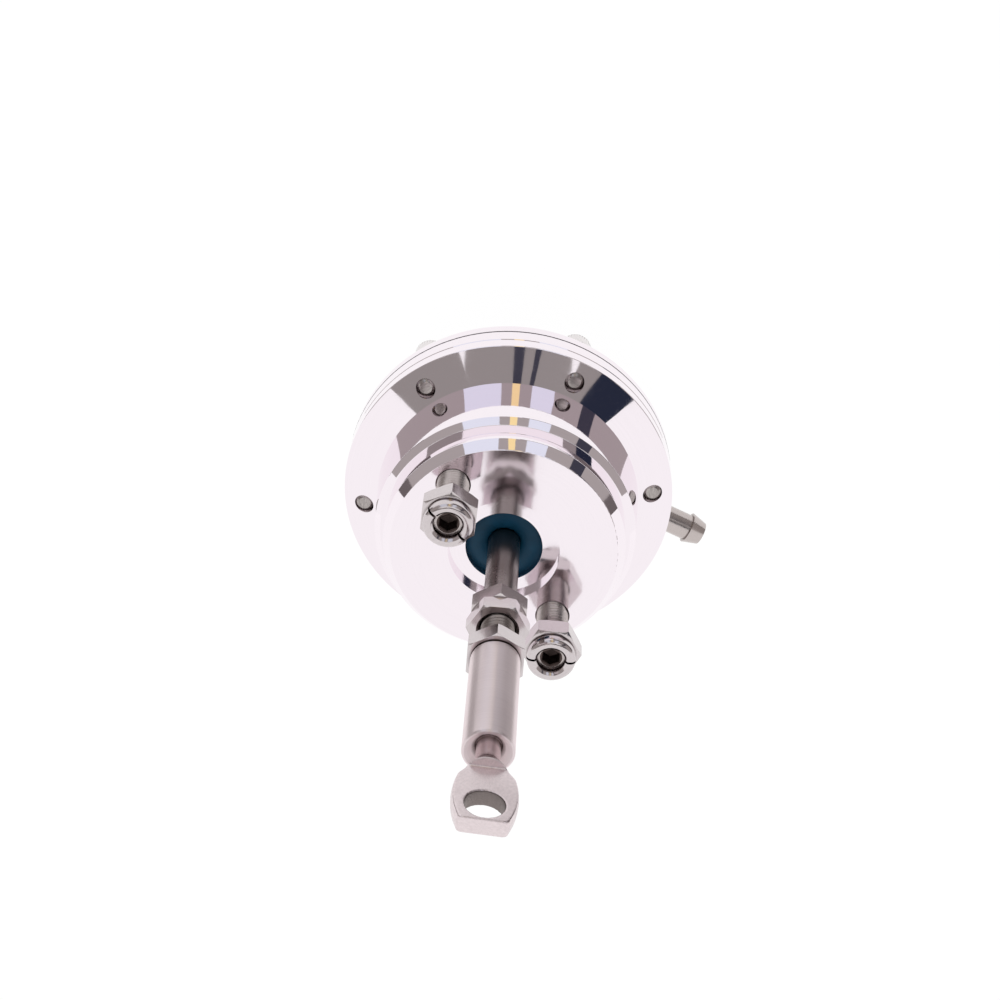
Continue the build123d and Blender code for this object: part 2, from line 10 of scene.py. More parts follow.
import bmesh
import bpy
from mathutils import Matrix, Vector


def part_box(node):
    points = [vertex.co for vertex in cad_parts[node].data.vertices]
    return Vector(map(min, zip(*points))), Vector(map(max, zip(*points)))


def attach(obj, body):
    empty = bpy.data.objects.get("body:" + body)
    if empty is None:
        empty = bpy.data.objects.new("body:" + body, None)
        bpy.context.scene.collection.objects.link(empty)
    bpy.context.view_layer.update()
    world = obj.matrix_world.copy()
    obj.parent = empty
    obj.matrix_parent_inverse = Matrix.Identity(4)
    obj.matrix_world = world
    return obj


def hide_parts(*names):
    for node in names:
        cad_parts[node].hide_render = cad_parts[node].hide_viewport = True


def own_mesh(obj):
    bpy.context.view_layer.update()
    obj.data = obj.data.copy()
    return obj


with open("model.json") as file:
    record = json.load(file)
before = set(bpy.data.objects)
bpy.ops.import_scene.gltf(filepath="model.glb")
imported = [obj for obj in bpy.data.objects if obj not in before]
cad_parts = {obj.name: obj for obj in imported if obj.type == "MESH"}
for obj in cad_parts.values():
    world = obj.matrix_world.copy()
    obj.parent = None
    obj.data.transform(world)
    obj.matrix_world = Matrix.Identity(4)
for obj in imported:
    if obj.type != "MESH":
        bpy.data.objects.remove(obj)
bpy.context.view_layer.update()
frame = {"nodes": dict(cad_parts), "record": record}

MM = 0.001
FORWARD = 82.24          # degrees, the way the camera looks from, counted from +X
FLANGE_FACE = 38.0       # front of the flange


# ---------------------------------------------------------------- small helpers
def direction(angle, elevation):
    """Unit vector at an angle from the camera's side and an elevation, in degrees."""
    turn = radians(angle + FORWARD - 90)
    rise = radians(elevation)
    return Vector((cos(turn) * cos(rise), sin(turn) * cos(rise), sin(rise)))


class Shader:
    """A node material built line by line."""

    def __init__(self, name):
        self.material = bpy.data.materials.new(name)
        self.material.use_nodes = True
        self.tree = self.material.node_tree
        self.tree.nodes.clear()
        self.output = self.tree.nodes.new("ShaderNodeOutputMaterial")

    def node(self, kind, **settings):
        """Adds a node; settings are its properties, or input values by socket name."""
        made = self.tree.nodes.new("ShaderNode" + kind)
        for key, value in settings.items():
            if hasattr(made, key):
                setattr(made, key, value)
            else:
                made.inputs[key.replace("_", " ")].default_value = value
        return made

    def link(self, source, target):
        self.tree.links.new(source, target)

    def ramp(self, source, *stops):
        """Colour ramp over (position, value) pairs."""
        ramp = self.node("ValToRGB")
        elements = ramp.color_ramp.elements
        while len(elements) < len(stops):
            elements.new(0.5)
        for element, (position, value) in zip(elements, stops):
            element.position = position
            element.color = (value, value, value, 1) if isinstance(value, float) else value
        self.link(source, ramp.inputs[0])
        return ramp.outputs[0]

    def below(self, length, edge):
        """1 where a length is under an edge in millimetres and 0 where it is over it."""
        mask = self.node("MapRange")
        mask.inputs["From Min"].default_value = (edge + 0.1) * MM
        mask.inputs["From Max"].default_value = edge * MM
        self.link(length, mask.inputs["Value"])
        return mask.outputs[0]

    def add(self, base, mask, share):
        """base plus a share of a mask."""
        total = self.node("Math", operation="MULTIPLY_ADD")
        total.inputs[1].default_value = share
        self.link(mask, total.inputs[0])
        self.link(base, total.inputs[2])
        return total.outputs[0]

    def times(self, first, second):
        """Product of two colours or vectors."""
        product = self.node("VectorMath", operation="MULTIPLY")
        self.link(first, product.inputs[0])
        self.link(second, product.inputs[1])
        return product.outputs[0]


# ---------------------------------------------------------------- stage
def floor():
    """White floor that stays white to the camera and in metal, with a soft shadow."""
    half, gap = 4.0, 0.05 * MM          # metres: half its width, and how far it lies below
    mesh = bpy.data.meshes.new("floor")
    corners = [(-half, -half), (half, -half), (half, half), (-half, half)]
    mesh.from_pydata([(x, y, -gap) for x, y in corners], [], [(0, 1, 2, 3)])
    plane = bpy.data.objects.new("floor", mesh)
    bpy.context.scene.collection.objects.link(plane)
    shader = Shader("floor_white")
    paper = shader.node("BsdfDiffuse", Color=(0.97, 0.97, 0.97, 1))
    glow = shader.node("Emission", Color=(1, 1, 1, 1), Strength=1.04)
    ray = shader.node("LightPath")
    seen = shader.node("Math", operation="MAXIMUM")
    shader.link(ray.outputs["Is Camera Ray"], seen.inputs[0])
    shader.link(ray.outputs["Is Glossy Ray"], seen.inputs[1])
    also = shader.node("Math", operation="MAXIMUM")
    shader.link(seen.outputs[0], also.inputs[0])
    shader.link(ray.outputs["Is Transmission Ray"], also.inputs[1])
    share = shader.node("Math", operation="MULTIPLY")
    share.inputs[1].default_value = 0.93        # the rest is lit, and so takes the shadow
    shader.link(also.outputs[0], share.inputs[0])
    mix = shader.node("MixShader")
    shader.link(share.outputs[0], mix.inputs[0])
    shader.link(paper.outputs[0], mix.inputs[1])
    shader.link(glow.outputs[0], mix.inputs[2])
    shader.link(mix.outputs[0], shader.output.inputs[0])
    mesh.materials.append(shader.material)


# Plain panels of the studio, for the polished metal to mirror.
PLASTER = (0.40, 0.37, 0.36, 1)
SHADE = (0.30, 0.28, 0.27, 1)
SOFT_LIGHT = (0.80, 0.85, 0.95, 1)
WARM_LIGHT = (1.0, 0.80, 0.40, 1)
DARK_STAND = (0.05, 0.05, 0.07, 1)
NAVY_CLOTH = (0.02, 0.025, 0.045, 1)
DARK_WOOD = (0.15, 0.13, 0.13, 1)
WALL = (0, 50)              # elevations of the wall and of the ceiling, in degrees
CEILING = (70, 85)
TALL = (50, 85)
TABLE = (0.15, 0.05)        # elevations of the table's near and far edge
ROOM = (1.6, 1.6)           # metres from the part to the lower and the upper edge
FRONT = (1.5, 1.5)          # the same, for what stands before the wall
PAPER = (0.165, 1.6)        # the same, for the table that the white paper lies on


def panel(name, sides, heights, colour, reaches=FRONT):
    """Glowing panel between two angles and two elevations."""
    step = 5
    angles = list(range(sides[0], sides[1], step)) + [sides[1]]
    edges = list(zip(heights, reaches))
    points = [direction(angle, height) * reach for angle in angles for height, reach in edges]
    faces = [(2 * row, 2 * row + 2, 2 * row + 3, 2 * row + 1) for row in range(len(angles) - 1)]
    mesh = bpy.data.meshes.new(name)
    mesh.from_pydata(points, [], faces)
    shader = Shader(name)
    glow = shader.node("Emission", Color=colour, Strength=1.0)
    shader.link(glow.outputs[0], shader.output.inputs[0])
    mesh.materials.append(shader.material)
    made = bpy.data.objects.new(name, mesh)
    made.visible_camera = False
    bpy.context.scene.collection.objects.link(made)
    return made


def studio_walls():
    """Room with soft lights, a warm strip, dark stands, a cloth and the table's edge."""
    panel("wall", (0, 180), WALL, PLASTER, ROOM)
    panel("ceiling", (25, 180), CEILING, SHADE, ROOM)
    panel("screen_left", (140, 180), TALL, SHADE)
    panel("screen_right", (25, 40), TALL, SHADE)
    panel("cloth", (5, 25), TALL, NAVY_CLOTH)
    panel("soft_light_left", (100, 125), WALL, SOFT_LIGHT)
    panel("soft_light_right", (65, 80), WALL, SOFT_LIGHT)
    panel("warm_strip", (88, 93), WALL, WARM_LIGHT)
    panel("stand_wall", (35, 45), WALL, DARK_STAND)
    panel("stand_middle", (85, 95), CEILING, DARK_STAND)
    panel("stand_right", (70, 75), CEILING, DARK_STAND)
    for name, sides in (("table_right", (0, 85)), ("table_left", (150, 180))):
        table = panel(name, sides, TABLE, DARK_WOOD, PAPER)
        table.visible_diffuse = table.visible_shadow = False    # keeps no light off the floor


def sky():
    world = bpy.data.worlds.new("studio")
    bpy.context.scene.world = world
    world.use_nodes = True
    background = world.node_tree.nodes["Background"]
    background.inputs["Color"].default_value = (1.0, 1.0, 1.0, 1)
    background.inputs["Strength"].default_value = 1.0


def camera():
    lens, sensor = 68.4, 36.0
    distance = 498.75
    elevation, roll = 60.95, 4.79
    shift_right, shift_up = -2.08, -1.23
    back = direction(90, elevation)
    level = direction(0, 0)
    rise = back.cross(level)
    right = level * cos(radians(roll)) + rise * sin(radians(roll))
    up = rise * cos(radians(roll)) - level * sin(radians(roll))
    place = Vector((0, 0, FLANGE_FACE)) + back * distance + right * shift_right + up * shift_up
    data = bpy.data.cameras.new("camera")
    data.lens, data.sensor_width = lens, sensor
    data.clip_start, data.clip_end = 0.01, 20
    view = bpy.data.objects.new("camera", data)
    bpy.context.scene.collection.objects.link(view)
    axes = Matrix((right, up, back)).transposed().to_4x4()
    view.matrix_world = Matrix.Translation(place * MM) @ axes
    bpy.context.scene.camera = view
    bpy.context.scene.view_settings.view_transform = "Standard"


# ---------------------------------------------------------------- materials
SCRATCH_DULL = 0.06         # roughness that a scratch adds
SATIN_DULL = 0.055          # roughness added on the front face
TURNED_DULL = 0.2           # roughness added where the cap is left as turned
TURNED_SHADE = 0.74         # how much of its colour the cap keeps there
# Colour of the painted shade in corners, holes and gaps.
CORNER_SHADE = (0.13, 0.10, 0.09, 1)


def metal(name, colour, roughness, marks=(1, 1, 1), depth=0.0, wear=0.06, blotch=0.02,
          brushed=0.0, crevice=0.0, satin_within=None, satin_below=None):
    """Bare metal: tool marks stretched along one way, cloudy gloss and a few scratches.

    marks scales the tool marks across radius, angle and height, per millimetre;
    depth is their height in millimetres; brushed is the pull of the gloss along Z;
    crevice is how far painted shade reaches out of corners, in millimetres; satin_within
    is the radius inside which a turned face is left less polished, and satin_below the
    height under which a part is left as turned.
    """
    shader = Shader(name)
    surface = shader.node("BsdfPrincipled", Metallic=1.0)
    place = shader.node("TexCoord")
    flat = shader.node("VectorMath", operation="MULTIPLY")
    flat.inputs[1].default_value = (1, 1, 0)
    shader.link(place.outputs["Object"], flat.inputs[0])
    radius = shader.node("VectorMath", operation="LENGTH")
    shader.link(flat.outputs[0], radius.inputs[0])
    parts = shader.node("SeparateXYZ")
    shader.link(place.outputs["Object"], parts.inputs[0])
    turn = shader.node("Math", operation="ARCTAN2")
    shader.link(parts.outputs["Y"], turn.inputs[0])
    shader.link(parts.outputs["X"], turn.inputs[1])
    turned = shader.node("CombineXYZ")
    shader.link(radius.outputs["Value"], turned.inputs["X"])
    shader.link(parts.outputs["Z"], turned.inputs["Z"])
    spun = shader.node("Math", operation="MULTIPLY")
    spun.inputs[1].default_value = 4 * MM
    shader.link(turn.outputs[0], spun.inputs[0])
    shader.link(spun.outputs[0], turned.inputs["Y"])
    stretch = shader.node("Mapping")
    stretch.inputs["Scale"].default_value = [share / MM for share in marks]
    shader.link(turned.outputs[0], stretch.inputs["Vector"])
    tooling = shader.node("TexNoise", Scale=1.0, Detail=4.0, Roughness=0.6)
    shader.link(stretch.outputs[0], tooling.inputs["Vector"])
    cloud = shader.node("TexNoise", Scale=0.12 / MM, Detail=3.0)
    shader.link(place.outputs["Object"], cloud.inputs["Vector"])
    long = shader.node("Mapping", Rotation=(0.7, 0.4, 0.9))
    long.inputs["Scale"].default_value = (0.25 / MM, 9 / MM, 0.25 / MM)
    shader.link(place.outputs["Object"], long.inputs["Vector"])
    hairs = shader.node("TexNoise", Scale=1.0, Detail=2.0)
    shader.link(long.outputs[0], hairs.inputs["Vector"])
    scratch = shader.ramp(hairs.outputs[0], (0.66, 0.0), (0.72, 1.0))
    pale = tuple(colour[:3]) + (1,)
    dark = tuple(channel * (1 - wear) for channel in colour[:3]) + (1,)
    tint = shader.ramp(tooling.outputs[0], (0.3, dark), (0.65, pale))
    smooth = shader.ramp(
        cloud.outputs[0], (0.35, max(0.02, roughness - blotch)), (0.65, roughness + blotch)
    )
    finish = shader.add(smooth, scratch, SCRATCH_DULL)
    if satin_within:
        inside = shader.below(radius.outputs["Value"], satin_within)
        finish = shader.add(finish, inside, SATIN_DULL)
    if satin_below:
        under = shader.below(parts.outputs["Z"], satin_below)
        finish = shader.add(finish, under, TURNED_DULL)
        tint = shader.times(tint, shader.ramp(under, (0.0, 1.0), (1.0, TURNED_SHADE)))
    # Painted shade: ambient occlusion darkens the colour in corners, holes and gaps.
    if crevice:
        occlusion = shader.node("AmbientOcclusion", samples=16)
        occlusion.inputs["Distance"].default_value = crevice * MM
        painted_shade = shader.ramp(occlusion.outputs["AO"], (0.25, CORNER_SHADE), (0.80, (1.0, 1.0, 1.0, 1)))
        tint = shader.times(tint, painted_shade)
    if brushed:
        surface.inputs["Anisotropic"].default_value = brushed
        around = shader.node("Tangent", direction_type="RADIAL", axis="Z")
        shader.link(around.outputs[0], surface.inputs["Tangent"])
        surface.inputs["Anisotropic Rotation"].default_value = 0.25
    shader.link(tint, surface.inputs["Base Color"])
    shader.link(finish, surface.inputs["Roughness"])
    if depth:
        relief = shader.node("Bump", Strength=1.0, Distance=depth * MM)
        shader.link(tooling.outputs[0], relief.inputs["Height"])
        shader.link(relief.outputs[0], surface.inputs["Normal"])
    shader.link(surface.outputs[0], shader.output.inputs[0])
    return shader.material


def moulded(name, colour, roughness, sheen=0.0):
    """Moulded rubber or silicone with a fine mat skin and a little dust."""
    shader = Shader(name)
    surface = shader.node("BsdfPrincipled", Roughness=roughness)
    surface.inputs["Specular IOR Level"].default_value = 0.22
    surface.inputs["Sheen Weight"].default_value = sheen
    place = shader.node("TexCoord")
    skin = shader.node("TexNoise", Scale=6 / MM, Detail=4.0)
    cloud = shader.node("TexNoise", Scale=0.3 / MM, Detail=3.0)
    for noise in (skin, cloud):
        shader.link(place.outputs["Object"], noise.inputs["Vector"])
    dark = tuple(channel * 0.82 for channel in colour) + (1,)
    tint = shader.ramp(cloud.outputs[0], (0.35, dark), (0.65, tuple(colour) + (1,)))
    shader.link(tint, surface.inputs["Base Color"])
    relief = shader.node("Bump", Strength=0.5, Distance=0.02 * MM)
    shader.link(skin.outputs[0], relief.inputs["Height"])
    shader.link(relief.outputs[0], surface.inputs["Normal"])
    shader.link(surface.outputs[0], shader.output.inputs[0])
    return shader.material


POLISHED = (0.93, 0.86, 0.905)
RINGS = (7.0, 0.15, 7.0)        # marks left by turning
GRAINY = (5.0, 5.0, 5.0)
# crevice darkens a metal's corners, holes and gaps with painted shade.
MATERIALS = {
    "polished_aluminium": metal(
        "polished_aluminium", POLISHED, 0.035, RINGS, 0.00006, wear=0.02, blotch=0.012,
        satin_within=28.4, satin_below=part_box("lower_housing")[1][2] / MM - 5.3,
    ),
    "cast_aluminium": metal("cast_aluminium", (0.62, 0.61, 0.61), 0.42, GRAINY, 0.01),
    "stainless_screws": metal(
        "stainless_screws", (0.84, 0.80, 0.80), 0.24, RINGS, 0.002, crevice=0.8
    ),
    "screw_tips": metal(
        "screw_tips", (0.50, 0.455, 0.44), 0.30, GRAINY, 0.004, wear=0.45, crevice=0.45
    ),
    "plated_steel": metal("plated_steel", (0.66, 0.64, 0.60), 0.30, RINGS, 0.002),
    "spring_steel": metal("spring_steel", (0.36, 0.35, 0.34), 0.34, GRAINY, 0.003),
    "bronze": metal("bronze", (0.62, 0.40, 0.20), 0.34, RINGS, 0.002),
    "blue_silicone": moulded("blue_silicone", (0.003, 0.052, 0.105), 0.42),
    "diaphragm_rubber": moulded("diaphragm_rubber", (0.14, 0.14, 0.15), 0.55, 0.2),
    "ground_stainless": metal(
        "ground_stainless", (0.30, 0.26, 0.25), 0.28, RINGS, 0.0006, wear=0.2, crevice=0.7
    ),
    "stud_thread": metal(
        "stud_thread", (0.56, 0.50, 0.49), 0.24, RINGS, 0.0006, wear=0.2, crevice=0.45
    ),
    # Near-black colour for the studs' hexagon sockets: painted shade in the holes.
    "stud_socket": metal("stud_socket", (0.10, 0.075, 0.07), 0.45, GRAINY, 0.004),
    "stainless_nuts": metal(
        "stainless_nuts", (0.67, 0.61, 0.62), 0.15, RINGS, 0.0014, wear=0.12, crevice=1.4
    ),
    "turned_stainless": metal(
        "turned_stainless", (0.88, 0.775, 0.79), 0.47, RINGS, 0.0016, wear=0.08,
        brushed=0.9, crevice=1.3,
    ),
    "satin_stainless": metal(
        "satin_stainless", (0.82, 0.72, 0.735), 0.34, (1.6, 2.2, 1.6), 0.004, wear=0.14,
        blotch=0.05, crevice=0.25,
    ),
    # Paler, smoother copy of the eye's metal for its neck: a smoother turned finish, and a
    # paler colour that paints a highlight on it.
    "eye_neck_highlight": metal("eye_neck_highlight", (0.95, 0.86, 0.87), 0.22, RINGS, 0.001, wear=0.10),
    # Darker colour for the eye's drilled hole: painted shade inside the hole.
    "eye_bore_shade": metal(
        "eye_bore_shade", (0.30, 0.255, 0.245), 0.40, (5.0, 5.0, 0.6), 0.008, wear=0.55, crevice=1.5
    ),
    "machined_stainless": metal(
        "machined_stainless", (0.56, 0.50, 0.485), 0.22, RINGS, 0.0016, crevice=1.5
    ),
    "copper": metal("copper", (0.72, 0.40, 0.28), 0.30, GRAINY, 0.002),
}


def dress_nodes():
    slots = {row["node"]: row["material_slot"] for row in frame["record"]["subparts"]}
    for name, node in frame["nodes"].items():
        for index in range(len(node.material_slots)):
            node.material_slots[index].material = MATERIALS[slots[name]]


# ---------------------------------------------------------------- fine pieces
ROUND = 96                  # steps round a turned piece, a multiple of 12
NUT_WIDTH = 13.0            # across flats of the M8 nuts
NUT_CORNER = 0.7            # how far the corners' chamfer reaches in
PITCH_M8 = 1.25
PITCH_M5 = 0.8
STUD_SOCKET_TURN = 20.0     # corner of the hexagon sockets in the studs


def span(node):
    """Lowest and highest point of a node, in millimetres."""
    low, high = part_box(node)
    return low[2] / MM, high[2] / MM


def hexagon(width, turn):
    """Radius of a hexagon across flats, against the angle; corner angle in degrees."""
    def radius(angle):
        off = (degrees(angle) - turn) % 60 - 30
        return width / 2 / cos(radians(off))
    return radius


def point(mesh, centre, radius, angle, height):
    """Adds a point about an upright axis."""
    across = (centre[0] + radius * cos(angle)) * MM
    along = (centre[1] + radius * sin(angle)) * MM
    return mesh.verts.new((across, along, height * MM))


def join(mesh, here, there):
    """Faces between two columns of points."""
    for low in range(len(here) - 1):
        mesh.faces.new((here[low], there[low], there[low + 1], here[low + 1]))


def turned_mesh(mesh, profile, centre=(0, 0), steps=ROUND, start=0.0):
    """Adds a closed turned shape. profile(angle) gives its (radius, height) points from
    the axis at the bottom to the axis at the top, or round a ring when none is on it.
    start, in degrees, puts a step on the corners of a hexagon."""
    rows = []
    for step in range(steps):
        angle = 2 * pi * step / steps + radians(start)
        outline = profile(angle)
        rows.append([point(mesh, centre, reach, angle, height) for reach, height in outline])
    for step in range(steps):
        join(mesh, rows[step], rows[(step + 1) % steps])


def threaded_mesh(mesh, radius, pitch, bottom, top, chamfer, centre=(0, 0), ends=(), start=0.0):
    """Adds a helical thread between two heights, its ends chamfered at 45 degrees.

    ends are (radius function or number, height) points that carry on from the top."""
    steps = 48
    depth = 0.6134 * pitch              # of an ISO metric thread
    stops = ((0.0, 0.0), (0.125, 0.0), (0.4375, depth), (0.6875, depth))    # crest, root
    turns = int((top - bottom) / pitch) + 2
    levels = [
        ((turn + stop) * pitch, drop) for turn in range(-1, turns) for stop, drop in stops
    ]
    columns = []
    for step in range(steps + 1):
        angle = 2 * pi * step / steps + radians(start)
        column = []
        for level, drop in levels:
            height = min(max(bottom + level + pitch * step / steps, bottom), top)
            limit = radius - chamfer + min(top - height, height - bottom)
            column.append((min(radius - drop, limit), height))
        column.insert(0, (0.0, bottom))
        for end in ends or ((0.0, top),):
            reach = end[0](angle) if callable(end[0]) else end[0]
            column.append((reach, end[1]))
        columns.append([point(mesh, centre, reach, angle, height) for reach, height in column])
    for here, there in zip(columns, columns[1:]):
        join(mesh, here, there)


def piece(name, mesh, body, slot, *nodes, bevel=0.0, cuts=(), sharp=28, rubbed=0.0,
          finish=None):
    """Makes an object of a mesh, softens its edges and stands it in for CAD nodes."""
    bmesh.ops.remove_doubles(mesh, verts=mesh.verts, dist=0.002 * MM)
    bmesh.ops.dissolve_degenerate(mesh, edges=mesh.edges, dist=0.001 * MM)
    bmesh.ops.recalc_face_normals(mesh, faces=mesh.faces)
    data = bpy.data.meshes.new(name)
    mesh.to_mesh(data)
    mesh.free()
    made = bpy.data.objects.new(name, data)
    bpy.context.scene.collection.objects.link(made)
    for cutter in cuts:
        carve = made.modifiers.new("cut", "BOOLEAN")
        carve.operation = "DIFFERENCE"
        carve.object = cutter
        carve.solver = "EXACT"
    if rubbed:
        skin = made.modifiers.new("skin", "REMESH")
        skin.mode = "VOXEL"
        skin.voxel_size = rubbed * MM
        rub = made.modifiers.new("rub", "SMOOTH")
        rub.factor = 0.5
        rub.iterations = 16
    if bevel:
        soften = made.modifiers.new("soften", "BEVEL")
        soften.width = bevel * MM
        soften.segments = 3
        soften.limit_method = "ANGLE"
        soften.angle_limit = radians(sharp)
        soften.use_clamp_overlap = True
    bake(made)
    for face in made.data.polygons:
        face.use_smooth = True
    made.data.set_sharp_from_angle(angle=radians(sharp))
    weigh = made.modifiers.new("weigh", "WEIGHTED_NORMAL")
    weigh.keep_sharp = True
    made.data.materials.clear()
    made.data.materials.append(MATERIALS[finish or slot])
    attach(made, body)
    if nodes:
        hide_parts(*nodes)
    return made


def bake(made):
    """Applies the modifiers of an object and drops them."""
    graph = bpy.context.evaluated_depsgraph_get()
    graph.update()
    final = bpy.data.meshes.new_from_object(made.evaluated_get(graph))
    made.modifiers.clear()
    made.data = final


def slab(centre, size, turn):
    """Box that saws a slit; deleted once its cut is made."""
    mesh = bmesh.new()
    bmesh.ops.create_cube(mesh, size=1.0)
    bmesh.ops.scale(mesh, verts=mesh.verts, vec=Vector(size) * MM)
    bmesh.ops.rotate(mesh, verts=mesh.verts, matrix=Matrix.Rotation(radians(turn), 3, "Z"))
    bmesh.ops.translate(mesh, verts=mesh.verts, vec=Vector(centre) * MM)
    data = bpy.data.meshes.new("saw")
    mesh.to_mesh(data)
    mesh.free()
    made = bpy.data.objects.new("saw", data)
    bpy.context.scene.collection.objects.link(made)
    return made


def nut_profile(bottom, top, hole, turn, countersink):
    """Hexagon nut with its corners chamfered, round a threaded hole."""
    corner = NUT_WIDTH / sqrt(3)
    rim = corner - NUT_CORNER
    slope = tan(radians(30))
    side = hexagon(NUT_WIDTH, turn)

    def profile(angle):
        reach = side(angle)
        drop = max(reach - rim, 0) * slope
        inner = min(rim, reach)
        return [
            (hole + countersink, bottom), (inner, bottom), (reach, bottom + drop),
            (reach, top - drop), (inner, top), (hole + countersink, top),
            (hole, top - countersink), (hole, bottom + countersink),
            (hole + countersink, bottom),
        ]
    return profile


def rod_nuts():
    hole = 4.05
    for name, body, node, turn, countersink in (
        ("hold_nut", "rod", "rod_hold_nut", FORWARD, 0.35),
        ("jam_nut", "rod", "rod_jam_nut", FORWARD + 30, 1.0),
        ("lock_nut", "lock_nut", "sleeve_lock_nut", FORWARD, 0.35),
    ):
        bottom, top = span(node)
        mesh = bmesh.new()
        turned_mesh(mesh, nut_profile(bottom, top, hole, turn, countersink), start=turn)
        piece(name, mesh, body, "stainless_nuts", node, bevel=0.13)


def stud_places():
    """Centres of the two studs, from the box of their node."""
    low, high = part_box("mounting_studs")
    radius = 4.0
    across = ((high[0] - low[0]) / MM / 2 - radius, (high[1] - low[1]) / MM / 2 - radius)
    return (-across[0], across[1]), (across[0], -across[1])


def studs():
    bottom, top = span("mounting_studs")
    socket = hexagon(4.0, STUD_SOCKET_TURN)
    mesh = bmesh.new()
    for centre in stud_places():
        ends = (
            (2.75, top), (lambda angle: socket(angle) + 0.25, top),
            (socket, top - 0.25), (socket, top - 4.0), (0.0, top - 4.6),
        )
        threaded_mesh(mesh, 4.0, PITCH_M8, bottom, top, 0.6, centre, ends, STUD_SOCKET_TURN)
    made = piece(
        "studs", mesh, "housing", "ground_stainless", "mounting_studs", finish="stud_thread"
    )
    # The sockets' faces take the near-black colour: painted shade in the holes.
    made.data.materials.append(MATERIALS["stud_socket"])
    places = [Vector(place) for place in stud_places()]
    for face in made.data.polygons:
        centre = face.center / MM
        near = min((centre.xy - place).length for place in places)
        if centre.z > top - 5.0 and near < 2.9:
            face.material_index = 1


def stud_nuts():
    """Slotted all-metal lock nuts: hexagon below, a round collar with two slits above."""
    bottom, top = span("stud_lock_nuts")
    shoulder = bottom + 5.1
    collar = 6.05
    slope = tan(radians(30))
    corner = NUT_WIDTH / sqrt(3)
    rim = corner - NUT_CORNER
    for index, (centre, turn, slit) in enumerate(
        zip(stud_places(), (79.7, 52.2), (-45.8, -7.8))
    ):
        side = hexagon(NUT_WIDTH, turn)

        def profile(angle):
            reach = side(angle)
            below = max(reach - rim, 0) * slope
            return [
                (4.3, bottom), (min(rim, reach), bottom), (reach, bottom + below),
                (reach, shoulder - max(reach - 6.35, 0) * 0.5), (6.3, shoulder),
                (collar - 0.5, shoulder + 0.02), (collar - 0.5, shoulder + 0.3),
                (collar - 0.05, shoulder + 0.75), (collar, shoulder + 1.1),
                (collar, top - 1.35), (collar - 0.12, top - 0.85),
                (collar - 0.42, top - 0.4), (collar - 0.9, top - 0.1),
                (collar - 1.4, top), (4.1, top), (3.5, top - 0.55), (3.5, top - 0.9),
                (4.05, top - 1.3), (4.05, bottom + 0.3), (4.3, bottom),
            ]
        mesh = bmesh.new()
        turned_mesh(mesh, profile, centre, start=turn)
        saw = slab((*centre, top - 1.3), (2 * NUT_WIDTH, 0.6, 2.62), slit)
        piece(
            "stud_nut_" + str(index + 1), mesh, "housing", "stainless_nuts",
            "stud_lock_nuts", bevel=0.1, cuts=(saw,),
        )
        bpy.data.objects.remove(saw)


def rod():
    """Ground rod, threaded only at its front."""
    bottom, top = span("actuator_rod")
    start = span("rod_hold_nut")[0] - 0.8
    low_end = span("piston")[0]
    mesh = bmesh.new()
    tail = span("retainer_plate")[1] + 3.7
    outline = [
        (0, bottom), (2.6, bottom), (3.0, bottom + 0.4), (3.0, low_end), (3.0, tail),
        (4.0, tail), (4.0, start - 0.2), (3.85, start), (3.85, start + 1.2), (0, start + 1.2),
    ]
    turned_mesh(mesh, lambda angle: outline)
    threaded_mesh(mesh, 4.0, PITCH_M8, start + 0.3, top, 0.8)
    piece("rod_bar", mesh, "rod", "ground_stainless", "actuator_rod", bevel=0.05)


def screws():
    """Six socket screws with knurled heads at the rear and threaded tips in front."""
    bottom, top = span("flange_screws")
    under_head = span("lower_housing")[1] - 5.45
    low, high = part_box("flange_screws")
    head = 4.25
    circle = high[0] / MM - head
    socket = hexagon(4.0, 0)

    def cap(angle):
        knurl = 0.09 * (1 - abs(2 * ((angle * 36 / (2 * pi)) % 1) - 1))
        edge = head - knurl
        return [
            (0, bottom + 2.9), (socket(angle), bottom + 2.5), (socket(angle), bottom + 0.25),
            (socket(angle) + 0.25, bottom), (head - 0.7, bottom), (head - 0.2, bottom + 0.35),
            (head - 0.1, bottom + 0.6), (edge, bottom + 0.75), (edge, under_head - 0.3),
            (head - 0.15, under_head - 0.15), (head - 0.3, under_head), (0, under_head),
        ]
    heads = bmesh.new()
    tips = bmesh.new()
    for place in range(6):
        angle = radians(60 * place)
        centre = (circle * cos(angle), circle * sin(angle))
        turned_mesh(heads, cap, centre, steps=144)
        ends = ((1.62, top), (1.35, top - 0.06), (0.9, top - 0.1), (0.0, top - 0.16))
        threaded_mesh(tips, 2.5, PITCH_M5, under_head, top, 0.9, centre, ends)
    piece("screw_heads", heads, "housing", "stainless_screws", "flange_screws", bevel=0.05)
    piece(
        "screw_tips", tips, "housing", "stainless_screws", "flange_screws",
        finish="screw_tips",
    )


